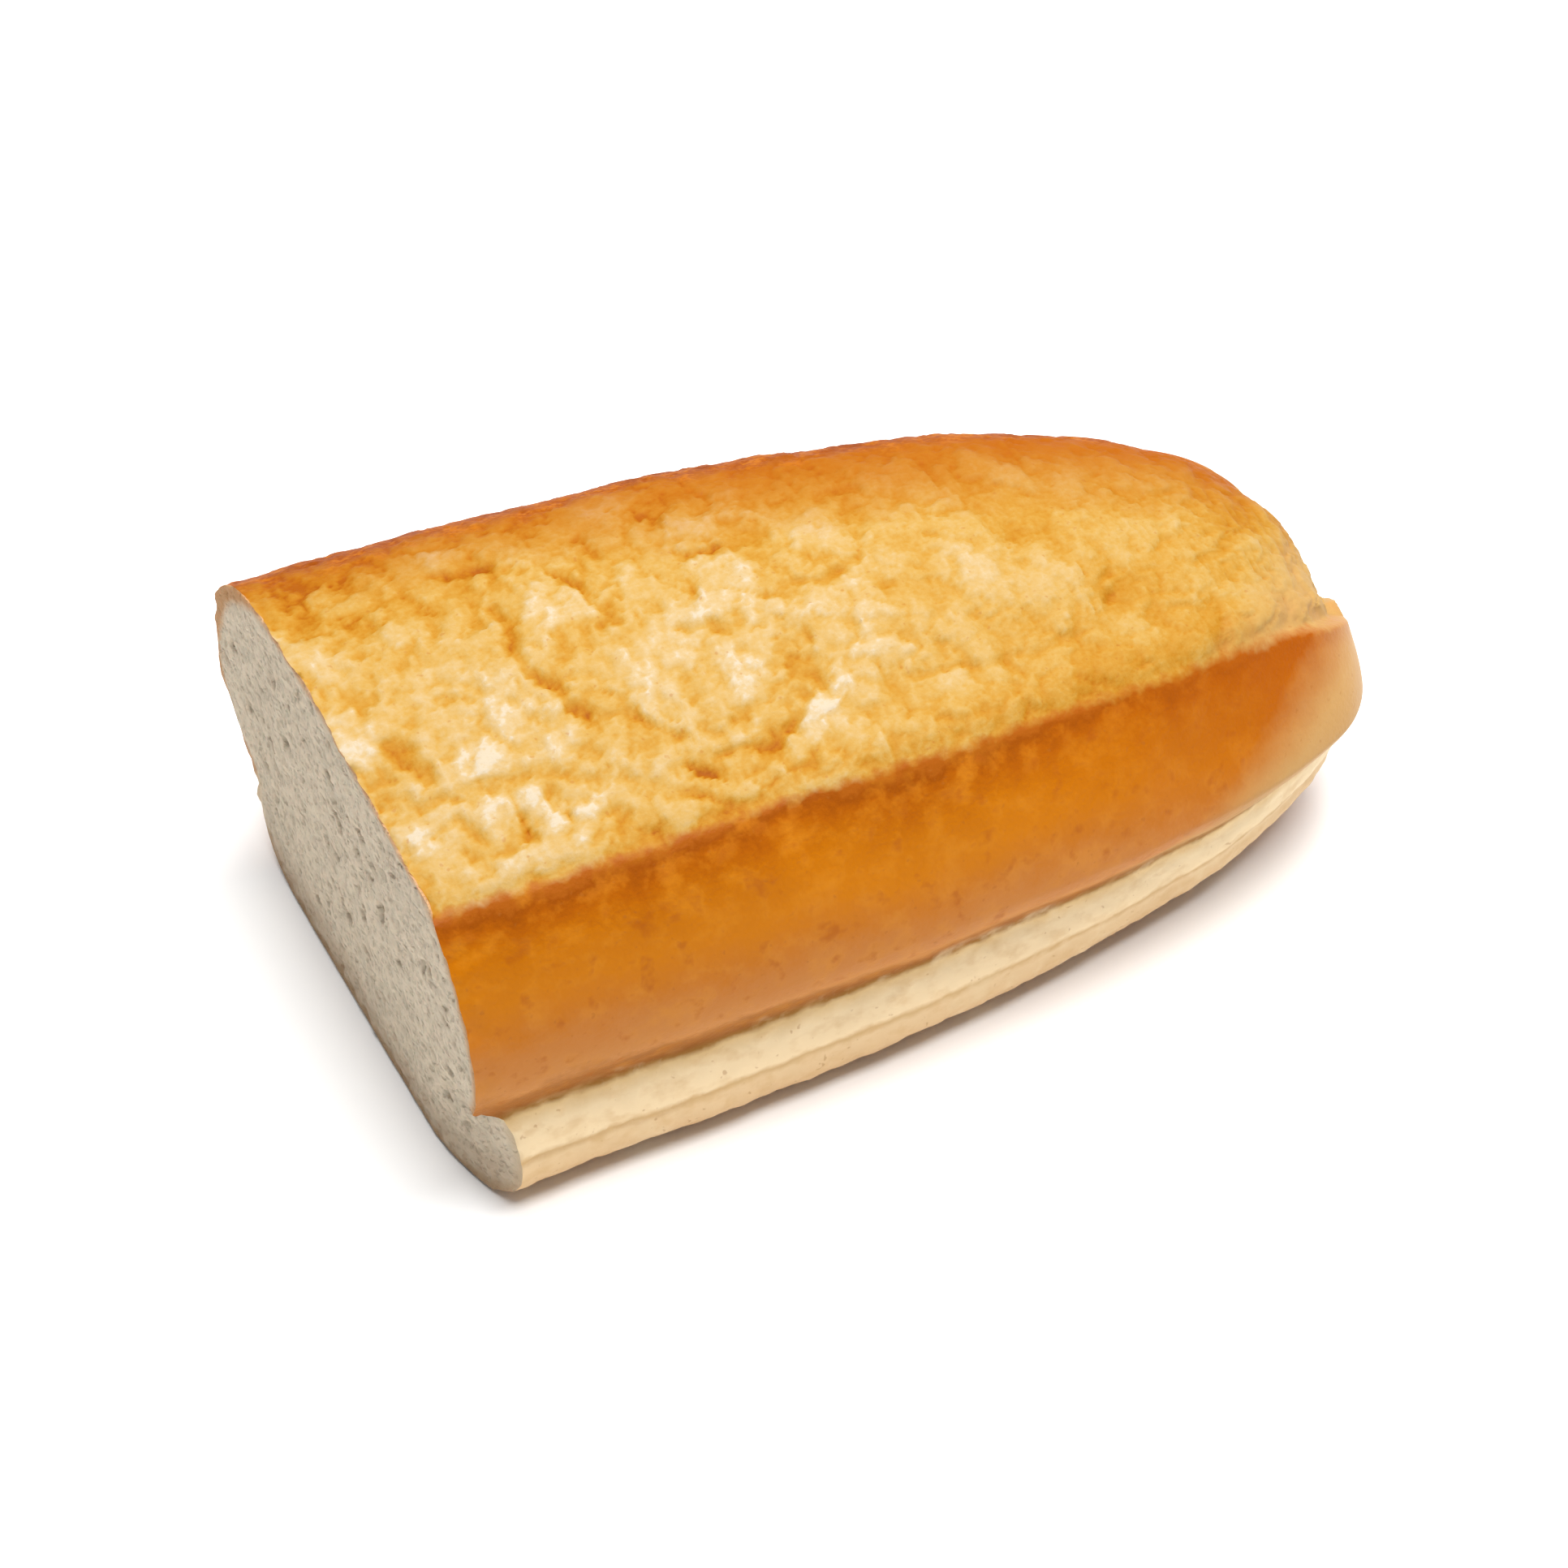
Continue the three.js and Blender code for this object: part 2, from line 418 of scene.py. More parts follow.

# %% [markdown]
# ## Flakes and folds placed one by one
#
# When the score tears open in the oven, its skin dries in thin pale flakes, with golden folds
# between them. The largest ones give a roll its face, so they are placed one by one: a flake is a
# blunt ellipse, and a fold is a line. Their outlines are then made ragged, by reading them at
# places that a noise has pushed about. The many small ones come later, from a rule.

# %% Flakes and folds
FLAKES = [  # (along, around, half its length along, half its length round, turn, paleness)
    (27.2, 116.8, 1.9, 3.4, 18, 0.7),
    (28.3, 110.6, 4.0, 2.8, -4, 1.0),
    (28.5, 103.0, 4.0, 4.0, 0, 0.15),
    (46.4, 108.0, 3.4, 5.8, -8, 0.8),
    (40.0, 98.5, 8.5, 7.5, 25, 0.55),
    (42.3, 95.6, 3.4, 4.2, 20, 0.9),
    (34.0, 93.0, 3.0, 3.0, 0, 0.6),
    (13.5, 103.0, 4.2, 4.6, 0, 0.55),
    (17.0, 95.6, 7.0, 4.4, 0, 0.65),
    (21.4, 92.8, 2.0, 1.9, 0, 0.95),
    (12.5, 93.6, 2.4, 2.4, 0, 0.75),
    (3.5, 110.6, 2.6, 3.2, 0, 0.5),
    (1.5, 101.0, 2.4, 4.2, 0, 0.6),
    (0.8, 117.2, 1.2, 2.0, 0, 0.7),
    (1.8, 87.0, 2.4, 2.7, 0, 0.7),
    (11.2, 87.0, 1.6, 2.9, -6, 0.62),
    (16.5, 85.4, 1.1, 2.9, 8, 0.58),
    (19.6, 82.6, 1.4, 2.3, -30, 0.55),
    (22.0, 83.8, 1.2, 2.2, 0, 0.5),
    (10.5, 80.8, 6.5, 1.2, -4, 0.45),
    (50.6, 88.4, 3.6, 1.3, 32, 1.0),
    (45.6, 84.2, 3.6, 1.3, 42, 0.85),
    (39.6, 81.3, 3.4, 1.1, 10, 0.7),
    (37.5, 88.0, 4.6, 1.4, 0, 0.5),
    (61.8, 104.0, 4.4, 2.0, 18, 0.9),
    (57.5, 98.5, 4.0, 4.5, 0, 0.45),
    (71.0, 101.8, 2.4, 2.8, 0, 0.65),
    (78.0, 98.0, 5.0, 5.5, 20, 0.45),
    (64.4, 85.0, 1.8, 2.0, 0, 0.6),
    (87.0, 84.2, 2.0, 2.8, 12, 0.75),
    (93.6, 99.0, 4.6, 5.0, -10, 0.45),
    (96.2, 102.2, 3.6, 1.7, -16, 0.7),
    (110.5, 91.0, 2.8, 9.0, 0, 0.6),
]
FOLDS = [  # (width, depth, places along and around)
    (1.2, 0.9, [(22.6, 114.0), (22.2, 109.0), (21.7, 104.0), (24.6, 98.4), (25.4, 94.6)]),
    (1.3, 1.0, [(18.8, 121.4), (24.6, 120.4)]),
    (1.0, 0.8, [(29.4, 116.6), (32.2, 113.0)]),
    (1.0, 0.9, [(43.8, 113.6), (47.6, 114.6)]),
    (0.6, 0.6, [(42.6, 110.4), (42.6, 106.6)]),
    (1.4, 0.8, [(39.6, 103.4), (43.4, 101.4)]),
    (1.0, 0.7, [(51.4, 105.0), (56.4, 104.2), (61.6, 106.6)]),
    (1.8, 1.0, [(5.0, 99.0), (7.0, 93.2)]),
    (1.2, 0.6, [(4.0, 90.6), (10.0, 90.9), (18.4, 90.2), (25.4, 86.6), (32.4, 81.6)]),
    (0.7, 1.0, [(32.6, 85.8), (35.4, 83.0)]),
    (1.0, 0.6, [(46.6, 87.4), (42.6, 85.0), (37.4, 85.6)]),
    (0.8, 1.0, [(20.0, 97.0), (20.6, 95.4)]),
    (0.8, 0.9, [(13.9, 89.0), (13.9, 82.8)]),
    (0.7, 0.9, [(18.0, 88.0), (18.0, 83.6)]),
    (0.7, 0.8, [(7.8, 88.4), (8.4, 84.4)]),
    (0.8, 0.6, [(14.6, 99.4), (17.4, 92.8)]),
    (0.8, 0.6, [(29.4, 95.6), (33.0, 89.4)]),
    (1.0, 0.7, [(88.0, 104.4), (88.4, 98.4), (85.8, 90.4)]),
    (1.0, 0.7, [(70.4, 107.4), (73.4, 105.2)]),
    (1.0, 0.5, [(60.0, 88.0), (72.0, 86.0), (82.0, 86.6)]),
    (1.3, 0.5, [(99.0, 93.0), (105.0, 95.6), (107.0, 101.0)]),
    (0.8, 0.5, [(32.6, 112.0), (33.4, 106.0), (33.0, 100.0)]),
]
RAGGED = ((3.4, 1.1), (1.1, 0.5))  # (size, reach) of the noises that push the outlines about
RAGGED_SEED = 4  # without a seed, the noise is another one in every session
FLAKE_BLUNTNESS = 3.0


def smooth_step(start, end, value):
    """0 before start and 1 after end, with a smooth rise between; end may be below start."""
    t = np.clip((value - start) / (end - start), 0, 1)
    return t * t * (3 - 2 * t)


def ragged(places):
    """The places, pushed about by noise."""
    pushed = places.copy()
    for grain, reach in RAGGED:
        push = [noise.noise_vector((a / grain, b / grain, grain)) for a, b in places]
        pushed += reach * np.array(push)[:, :2]
    return pushed


def flake_at(places, flake):
    """How much of a flake there is at each place."""
    centre, half, turn, paleness = flake[0:2], flake[2:4], math.radians(flake[4]), flake[5]
    away = places - np.array(centre)
    u = (away[:, 0] * math.cos(turn) + away[:, 1] * math.sin(turn)) / half[0]
    v = (away[:, 1] * math.cos(turn) - away[:, 0] * math.sin(turn)) / half[1]
    radius = (np.abs(u) ** FLAKE_BLUNTNESS + np.abs(v) ** FLAKE_BLUNTNESS) ** (1 / FLAKE_BLUNTNESS)
    return paleness * smooth_step(1.1, 0.85, radius)


def fold_at(places, fold):
    """How deep a fold is at each place."""
    width, depth, route = fold
    nearest = np.full(len(places), np.inf)
    for start, end in zip(np.array(route), np.array(route[1:])):
        step = end - start
        share = np.clip((places - start) @ step / (step @ step), 0, 1)
        nearest = np.minimum(nearest, np.linalg.norm(places - start - share[:, None] * step, axis=1))
    return depth * smooth_step(width, 0.25 * width, nearest)


on_score = score > -1
noise.seed_set(RAGGED_SEED)
places = ragged(np.stack([along, around], -1)[on_score])
flake, fold = np.zeros(len(points)), np.zeros(len(points))
flake[on_score] = np.maximum.reduce([flake_at(places, one) for one in FLAKES])
fold[on_score] = np.maximum.reduce([fold_at(places, one) for one in FOLDS])
print(f"{len(FLAKES)} flakes and {len(FOLDS)} folds")

# %% [markdown]
# ## One mesh that keeps its numbers
#
# The points and faces become one mesh, and the distances, flakes and folds are kept on it as
# attributes, one number for each point. The faces of the cut are marked too, so that they can be
# given the crumb's finish.

# %% Mesh
mesh = bpy.data.meshes.new("half_roll")
mesh.from_pydata((points * MM).tolist(), [], faces)
attributes = {
    "along": along,
    "around": around,
    "inside": inside,
    "score": score,
    "band": band,
    "flake": flake,
    "fold": fold,
}
for name, values in attributes.items():
    layer = mesh.attributes.new(name, "FLOAT", "POINT")
    layer.data.foreach_set("value", values.astype(np.float32))
layer = mesh.attributes.new("cut", "BOOLEAN", "FACE")
layer.data.foreach_set("value", np.arange(len(faces)) >= crust_faces)
mesh.shade_smooth()
roll = bpy.data.objects.new("half_roll", mesh)
bpy.context.scene.collection.objects.link(roll)
print(f"the mesh has {len(mesh.vertices)} points and keeps {len(mesh.attributes)} attributes")

# %% [markdown]
# ## Nodes and colours
#
# Both Geometry Nodes and materials are node trees. One small function adds a node of any kind,
# sets it, links its inputs, and gives back the output that the next node needs. Colours are
# written as the hex values that a screen shows, and turned to the linear values that light uses.
# A second function adds up several parts, each with its own weight, because most of the looks of
# bread are such sums.


# %% Helpers for nodes and colours
def linear(hex_colour):
    """Linear RGBA of an sRGB colour such as "#E9AE53"."""
    shares = [int(hex_colour[i : i + 2], 16) / 255 for i in (1, 3, 5)]
    return (*(c / 12.92 if c <= 0.04045 else ((c + 0.055) / 1.055) ** 2.4 for c in shares), 1)


def add(tree, kind, inputs=(), out=0, stops=(), **settings):
    """Adds a node and gives back one of its outputs.

    Inputs go in order, or by number or name. A socket is linked, and a hex colour is made linear.
    Stops are the places and hex colours of a colour ramp.
    """
    made = tree.nodes.new(kind)
    for name, value in settings.items():
        setattr(made, name, value)
    for key, value in inputs.items() if isinstance(inputs, dict) else enumerate(inputs):
        if isinstance(value, bpy.types.NodeSocket):
            tree.links.new(value, made.inputs[key])
        else:
            is_colour = isinstance(value, str) and value.startswith("#")
            made.inputs[key].default_value = linear(value) if is_colour else value
    for number, (place, colour) in enumerate(stops):
        elements = made.color_ramp.elements
        stop = elements[number] if number < 2 else elements.new(place)
        stop.position, stop.color = place, linear(colour)
    return made.outputs[out]


def weighted(put, start, *parts):
    """start plus every part times its weight."""
    total = start
    for part, weight in parts:
        total = put("ShaderNodeMath", (part, weight, total), operation="MULTIPLY_ADD")
    return total


print("mid grey, made linear:", round(linear("#808080")[0], 3))

# %% [markdown]
# ## Relief by rule
#
# The score is covered all over with small flakes, wrinkles that run across the loaf and fine
# folds; the flanks are smooth with a faint unevenness; the pale band is torn; and the cut face is
# full of pores. All of that follows rules, so a Geometry Nodes tree makes it: noises read at
# each point's place give a height in millimetres, and the point moves out by that height. A
# displacement in the material would only show in one renderer, while this is real geometry. The
# tree also keeps two results for the materials: the tone of the score, from brown folds to pale
# flakes, and the pores. Its sizes are named inputs, and the noises take a fixed seed.

# %% Relief: the tree and its inputs
RELIEF_SIZES = {  # millimetres, except the seed
    "Flake height": 0.38,
    "Wrinkle width": 2.1,
    "Grain height": 0.1,
    "Lip height": 1.15,
    "Band step": 0.45,
    "Band roughness": 0.35,
    "Unevenness": 0.5,
    "Rim raggedness": 0.55,
    "Pore width": 1.3,
    "Pore depth": 0.25,
    "Hole depth": 0.6,
    "Crumb unevenness": 0.35,
    "Seed": 4.0,
}
tree = bpy.data.node_groups.new("bread_relief", "GeometryNodeTree")
tree.interface.new_socket("Geometry", in_out="INPUT", socket_type="NodeSocketGeometry")
for name in RELIEF_SIZES:
    tree.interface.new_socket(name, in_out="INPUT", socket_type="NodeSocketFloat")
for name in ("Crust", "Crumb"):
    tree.interface.new_socket(name, in_out="INPUT", socket_type="NodeSocketMaterial")
tree.interface.new_socket("Geometry", in_out="OUTPUT", socket_type="NodeSocketGeometry")
given = tree.nodes.new("NodeGroupInput").outputs
put = functools.partial(add, tree)
SMOOTH = {"interpolation_type": "SMOOTHSTEP"}

position = put("GeometryNodeInputPosition")
place = put("ShaderNodeVectorMath", {0: position, "Scale": 1 / MM}, operation="SCALE")
at = {}
for name in attributes:
    at[name] = put("GeometryNodeInputNamedAttribute", {"Name": name}, data_type="FLOAT")
is_cut = put("GeometryNodeInputNamedAttribute", {"Name": "cut"}, data_type="BOOLEAN")
print(f"the relief tree has {len(RELIEF_SIZES)} sizes and reads {len(at)} numbers at each point")


# %% Relief: noises and bent places
def uneven(vector, waves, detail, out=0):
    """A noise with so many waves in a millimetre: a number about 0, or three of them from output 1."""
    drawn = {"Vector": vector, "W": given["Seed"], "Scale": waves, "Detail": detail}
    drawn = put("ShaderNodeTexNoise", drawn, out, noise_dimensions="4D")
    if out == 1:
        return put("ShaderNodeVectorMath", (drawn, (0.5, 0.5, 0.5)), operation="SUBTRACT")
    return put("ShaderNodeMath", (drawn, 0.5), operation="SUBTRACT")


# Straight patterns look machined, so they are read at places that a noise has pushed about. Each
# push is multiplied by how far it reaches in millimetres, and added to the place.
broad_push = uneven(place, 0.17, 2.0, 1)
fine_push = uneven(place, 0.55, 3.0, 1)
half_bent = put("ShaderNodeVectorMath", (broad_push, (3.0,) * 3, place), operation="MULTIPLY_ADD")
bent = put("ShaderNodeVectorMath", (broad_push, (6.0,) * 3, place), operation="MULTIPLY_ADD")
torn = put("ShaderNodeVectorMath", (fine_push, (3.4,) * 3, bent), operation="MULTIPLY_ADD")
print("places are bent by up to 3 mm")

# %% [markdown]
# ### The open score
#
# Four things lie over one another on the score: broad plates of skin, patches a few millimetres
# wide with cracked edges, wrinkles across the loaf, and a fine grain. The same parts give both
# the tone and the height, so what looks pale also stands up.

# %% Relief: plates, patches, wrinkles and grain
PLATE_STRETCH = (1.0, 0.7, 1.0)
PATCH_STRETCH = (0.8, 0.62, 0.8)
WRINKLE_STRETCH = (1.0, 0.42, 0.7)

plate = put("ShaderNodeVectorMath", (bent, PLATE_STRETCH), operation="MULTIPLY")
plate = uneven(plate, 0.14, 2.0)
low_plate = put("ShaderNodeMapRange", (plate, -0.03, 0.01), **SMOOTH)
high_plate = put("ShaderNodeMapRange", (plate, 0.06, 0.09), **SMOOTH)

wrinkle_waves = put("ShaderNodeMath", (1.0, given["Wrinkle width"]), operation="DIVIDE")
wrinkle = put("ShaderNodeVectorMath", (half_bent, WRINKLE_STRETCH), operation="MULTIPLY")
wrinkle = uneven(wrinkle, wrinkle_waves, 1.5)
crack = put("ShaderNodeMath", (wrinkle,), operation="ABSOLUTE")
crack = put("ShaderNodeMapRange", (crack, 0.05, 0.0), **SMOOTH)

patches = put("ShaderNodeVectorMath", (torn, PATCH_STRETCH), operation="MULTIPLY")
patches = {"Vector": patches, "W": given["Seed"], "Scale": 0.24}
patch_tone = put("ShaderNodeTexVoronoi", patches, 1, voronoi_dimensions="4D")
patch_tone = put("ShaderNodeSeparateXYZ", (patch_tone,))
patch_tone = put("ShaderNodeMath", (patch_tone, 0.5), operation="SUBTRACT")
to_edge = {"voronoi_dimensions": "4D", "feature": "DISTANCE_TO_EDGE"}
patch_edge = put("ShaderNodeTexVoronoi", patches, **to_edge)
patch_edge = put("ShaderNodeMapRange", (patch_edge, 0.11, 0.02), **SMOOTH)
cracked = put("ShaderNodeMapRange", (wrinkle, -0.06, 0.06), **SMOOTH)
patch_edge = put("ShaderNodeMath", (patch_edge, cracked), operation="MULTIPLY")

grain = uneven(half_bent, 0.8, 2.0)
print(f"patches are about {1 / (0.24 * PATCH_STRETCH[0]):.0f} mm long")

# %% Relief: tone of the score
tone = weighted(
    put,
    -0.12,
    (low_plate, 0.12),
    (high_plate, 0.14),
    (patch_tone, 0.24),
    (patch_edge, -0.22),
    (crack, -0.12),
    (grain, 0.5),
    (at["flake"], 0.3),
    (at["fold"], -0.36),
)
EVEN_TONE = 0.6  # tone of the score where no part of it stands out
contrast = put("ShaderNodeMapRange", (at["along"], 0.42 * LENGTH, 0.62 * LENGTH, 1.0, 0.65))
tone = put("ShaderNodeMath", (tone, contrast, EVEN_TONE), operation="MULTIPLY_ADD")
trends = (  # (number kept on the mesh, its range, what it adds over that range)
    ("around", RIGHT_RIDGE, RIGHT_RIDGE + 9, -0.12, 0.04),  # golden next to the near ridge
    ("around", LEFT_RIDGE - 26, LEFT_RIDGE - 2, 0.0, -0.5),  # browner towards the far one
    ("along", 0.3 * LENGTH, 0.95 * LENGTH, 0.07, -0.14),  # and towards the tip
)
for name, *limits in trends:
    trend = put("ShaderNodeMapRange", (at[name], *limits))
    tone = put("ShaderNodeMath", (tone, trend), operation="ADD")
tone = put("ShaderNodeClamp", (tone,))
print(f"the tone of the score follows 8 parts and {len(trends)} trends")

# %% Relief: height of the score
flaky = weighted(
    put,
    -0.5,
    (low_plate, 0.55),
    (high_plate, 0.45),
    (at["flake"], 0.55),
    (patch_tone, 0.5),
    (patch_edge, -0.6),
    (crack, -0.45),
    (at["fold"], -1.0),
)
flaky = put("ShaderNodeMath", (flaky, given["Flake height"]), operation="MULTIPLY")
grainy = put("ShaderNodeMath", (grain, 3.0), operation="MULTIPLY")
score_height = put("ShaderNodeMath", (grainy, given["Grain height"], flaky), operation="MULTIPLY_ADD")
on_score = put("ShaderNodeMapRange", (at["score"], -0.3, 1.6), **SMOOTH)
calmer = put("ShaderNodeMapRange", (at["around"], LEFT_RIDGE - 16, LEFT_RIDGE - 5, 1.0, 0.5))
for share in (on_score, calmer):
    score_height = put("ShaderNodeMath", (score_height, share), operation="MULTIPLY")
print("flakes stand up to", RELIEF_SIZES["Flake height"], "mm")

# %% [markdown]
# ### Lip, band, flanks and crumb
#
# Round the tip the flank's skin curls up into a lip along the end of the score. The band has a
# rough face with a step where it tore off the tray. The flanks are only a little uneven. On the
# cut face small pores and a few larger holes sink in, but not at the rim, where the crust is.

# %% Relief: lip, band and flanks
lip = put("ShaderNodeMapRange", (at["score"], -0.3, 0.8, 1.0, -0.7), **SMOOTH)
lip_rise = put("ShaderNodeMapRange", (at["score"], -15.0, -2.0, 0.0, 1.0), **SMOOTH)
lip_fall = put("ShaderNodeMapRange", (at["score"], 2.0, 14.0, 1.0, 0.0), **SMOOTH)
near_tip = (at["along"], 0.84 * LENGTH, 0.96 * LENGTH, 0.08, 1.0)
near_tip = put("ShaderNodeMapRange", near_tip, **SMOOTH)
for share in (lip_rise, lip_fall, near_tip, given["Lip height"]):
    lip = put("ShaderNodeMath", (lip, share), operation="MULTIPLY")

rough = uneven(place, 0.42, 2.0)
wavy_band = weighted(put, at["band"], (rough, 0.5))
on_band = put("ShaderNodeMapRange", (wavy_band, 0.0, 0.25), **SMOOTH)
band_step = put("ShaderNodeMapRange", (wavy_band, 0.96, 1.04), **SMOOTH)
near_cut = put("ShaderNodeMapRange", (at["along"], 15.0, 50.0, 1.0, 0.35))
for share in (given["Band step"], near_cut):
    band_step = put("ShaderNodeMath", (band_step, share), operation="MULTIPLY")
band_height = rough
for share in (given["Band roughness"], 2.0, on_band):
    band_height = put("ShaderNodeMath", (band_height, share), operation="MULTIPLY")
band_height = put("ShaderNodeMath", (band_height, band_step), operation="SUBTRACT")

slow = uneven(place, 0.07, 1.0)
for share in (2.0, given["Unevenness"]):
    slow = put("ShaderNodeMath", (slow, share), operation="MULTIPLY")
print("the lip stands", RELIEF_SIZES["Lip height"], "mm above the end of the score")

# %% Relief: pores of the crumb
pore_waves = put("ShaderNodeMath", (1.0, given["Pore width"]), operation="DIVIDE")
sunk = []  # how much of a small pore and of a large hole there is
for waves, starts, ends in ((pore_waves, 0.42, 0.12), (0.3, 0.36, 0.16)):
    cells = {"Vector": torn, "W": given["Seed"], "Scale": waves}
    cells = put("ShaderNodeTexVoronoi", cells, voronoi_dimensions="4D")
    sunk.append(put("ShaderNodeMapRange", (cells, starts, ends), **SMOOTH))
pore, hole = sunk
pore_depth = put("ShaderNodeMath", (pore, given["Pore depth"]), operation="MULTIPLY")
hole_depth = put("ShaderNodeMath", (hole, given["Hole depth"]), operation="MULTIPLY")
depth = put("ShaderNodeMath", (pore_depth, hole_depth), operation="MAXIMUM")
mottle = uneven(place, 0.5, 3.0)
crumb_height = mottle
for share in (given["Crumb unevenness"], 3.0):
    crumb_height = put("ShaderNodeMath", (crumb_height, share), operation="MULTIPLY")
crumb_height = put("ShaderNodeMath", (crumb_height, depth), operation="SUBTRACT")

pores = put("ShaderNodeMath", (pore, 0.6), operation="MULTIPLY")
pores = put("ShaderNodeMath", (pores, hole), operation="MAXIMUM")
pores = weighted(put, pores, (mottle, -1.5))
inside_rim = put("ShaderNodeMapRange", (at["inside"], 0.4, 1.8), **SMOOTH)
crumb_height = put("ShaderNodeMath", (crumb_height, inside_rim), operation="MULTIPLY")
pores = put("ShaderNodeMath", (pores, inside_rim), operation="MULTIPLY")
print("pores are about", RELIEF_SIZES["Pore width"], "mm wide")

# %% Relief: move the points out
crust_height = score_height
for part in (lip, band_height, slow):
    crust_height = put("ShaderNodeMath", (crust_height, part), operation="ADD")
ragged_rim = uneven(place, 0.3, 3.0)
at_rim = put("ShaderNodeMapRange", (at["along"], 0.0, 5.0, 1.0, 0.0), **SMOOTH)
for share in (3.0, at_rim, given["Rim raggedness"]):
    ragged_rim = put("ShaderNodeMath", (ragged_rim, share), operation="MULTIPLY")
crust_height = put("ShaderNodeMath", (crust_height, ragged_rim), operation="ADD")
on_face = put("ShaderNodeMapRange", (at["inside"], 0.0, 0.6))
height = {0: on_face, 2: crust_height, 3: crumb_height}
height = put("ShaderNodeMix", height, data_type="FLOAT")
height = put("ShaderNodeMath", (height, MM), operation="MULTIPLY")
normal = put("GeometryNodeInputNormal")
outwards = put("ShaderNodeVectorMath", {0: normal, "Scale": height}, operation="SCALE")

shape = given["Geometry"]
for name, value in (("tone", tone), ("pores", pores)):
    storing = {"Geometry": shape, "Name": name, "Value": value}
    shape = put("GeometryNodeStoreNamedAttribute", storing, data_type="FLOAT")
shape = put("GeometryNodeSetPosition", {"Geometry": shape, "Offset": outwards})
moved = put("ShaderNodeSeparateXYZ", (put("GeometryNodeInputPosition"),)).node.outputs
above_table = put("ShaderNodeMath", (moved["Z"], 0.0), operation="MAXIMUM")
above_table = put("ShaderNodeCombineXYZ", (moved["X"], moved["Y"], above_table))
shape = put("GeometryNodeSetPosition", {"Geometry": shape, "Position": above_table})
shape = put("GeometryNodeRealizeInstances", {"Geometry": shape})
shape = put("GeometryNodeSetMaterial", {"Geometry": shape, "Material": given["Crust"]})
on_cut = {"Geometry": shape, "Selection": is_cut, "Material": given["Crumb"]}
shape = put("GeometryNodeSetMaterial", on_cut)
tree.links.new(shape, tree.nodes.new("NodeGroupOutput").inputs["Geometry"])
print(f"the relief tree has {len(tree.nodes)} nodes")

# %% [markdown]
# ## Crust: baked skin
#
# The crust is one material with three looks. The open score dried slowly, so it is pale gold with
# ivory flakes and golden-brown folds. The flanks were the roll's skin, stretched smooth: deep
# orange under the ridge, where the heat was highest, with a thin darker line just under the ridge
# that is partly a darker bake and partly painted shade; tan lower down, partly a paler bake and
# partly painted light from the white table; and darker again just above the crease, which is painted
# shade. Round the tip the flank is paler, which is painted light where it turns towards the lamp.
# The band beside the tray stayed cream, with painted shade along its top edge under the flank's
# overhang, and the base is browned by the tray. Each look is a colour ramp, read by a distance or
# by the tone kept from the relief, and noises with the grain of flour, blisters and patches keep any
# part from being one flat colour. To the eye, baked skin is dull on the score and has a faint satin
# on the flanks, so the shader has little specular and a middling roughness.


# %% Helpers for materials
def principled(name, constants):
    """A new material; the constants go on the shader's own sockets."""
    material = bpy.data.materials.new(name)
    material.use_nodes = True
    shader = material.node_tree.nodes["Principled BSDF"]
    for key, value in constants.items():
        shader.inputs[key].default_value = value
    return material, shader.inputs, functools.partial(add, material.node_tree)


def grain_of(put, millimetres, detail=3.0, stretch=(1, 1, 1)):
    """A noise of a given grain in millimetres, about 0 on average."""
    place = put("ShaderNodeTexCoord", out=3)
    scaled = [s / MM / millimetres for s in stretch]
    place = put("ShaderNodeVectorMath", (place, scaled), operation="MULTIPLY")
    made = put("ShaderNodeTexNoise", {"Vector": place, "Scale": 1.0, "Detail": detail})
    return put("ShaderNodeMath", (made, 0.5), operation="SUBTRACT")


def layered(put, colour, layers):
    """The colour with layers laid over it, each given as how much of it there is, and its hue."""
    for share, hue in layers:
        mixed = {0: share, 6: colour, 7: hue}
        colour = put("ShaderNodeMix", mixed, 2, data_type="RGBA")
    return colour


# %% Crust: what its colours follow
crust, sockets, put = principled("baked_crust", {"Specular IOR Level": 0.08})
at = {}
for name in ("along", "around", "score", "band", "tone"):
    at[name] = put("ShaderNodeAttribute", out=2, attribute_name=name)
floury, blistered, broad = (grain_of(put, size) for size in (0.55, 2.2, 14.0))
blotches = grain_of(put, 3.4)
print("the crust follows", ", ".join(at))

# %% Crust: the score
tone = weighted(put, at["tone"], (floury, 0.3), (blistered, 0.16))
score_stops = (
    (0.0, "#8E4A02"),
    (0.15, "#9E620C"),
    (0.3, "#A6721E"),
    (0.45, "#AB7E30"),
    (0.6, "#AF8A46"),
    (0.75, "#B2935C"),
    (0.9, "#B59D74"),
    (1.0, "#B9AA92"),
)
score_colour = put("ShaderNodeValToRGB", (tone,), stops=score_stops)
tan_end = weighted(put, at["along"], (blistered, 8), (at["score"], -1.6))
tan_end = put("ShaderNodeMapRange", (tan_end, 0.76 * LENGTH, 0.86 * LENGTH, 0.0, 0.7))
far_side = weighted(put, at["around"], (at["along"], 0.17), (broad, 12), (blistered, 5))
far_side = put("ShaderNodeMapRange", (far_side, LEFT_RIDGE - 18, LEFT_RIDGE + 3.5, 0.0, 0.9))
far_edge = weighted(put, at["around"], (at["along"], 0.02), (blistered, 6), (blotches, 8))
far_edge = put("ShaderNodeMapRange", (far_edge, LEFT_RIDGE - 10.5, LEFT_RIDGE - 7, 0.0, 0.9))
browned_stops = ((0.0, "#7A3402"), (0.5, "#8E4406"), (1.0, "#AA600E"))
browned = weighted(put, blotches, (blistered, 0.6), (floury, 0.7))
browned = put("ShaderNodeMapRange", (browned, -0.22, 0.22))
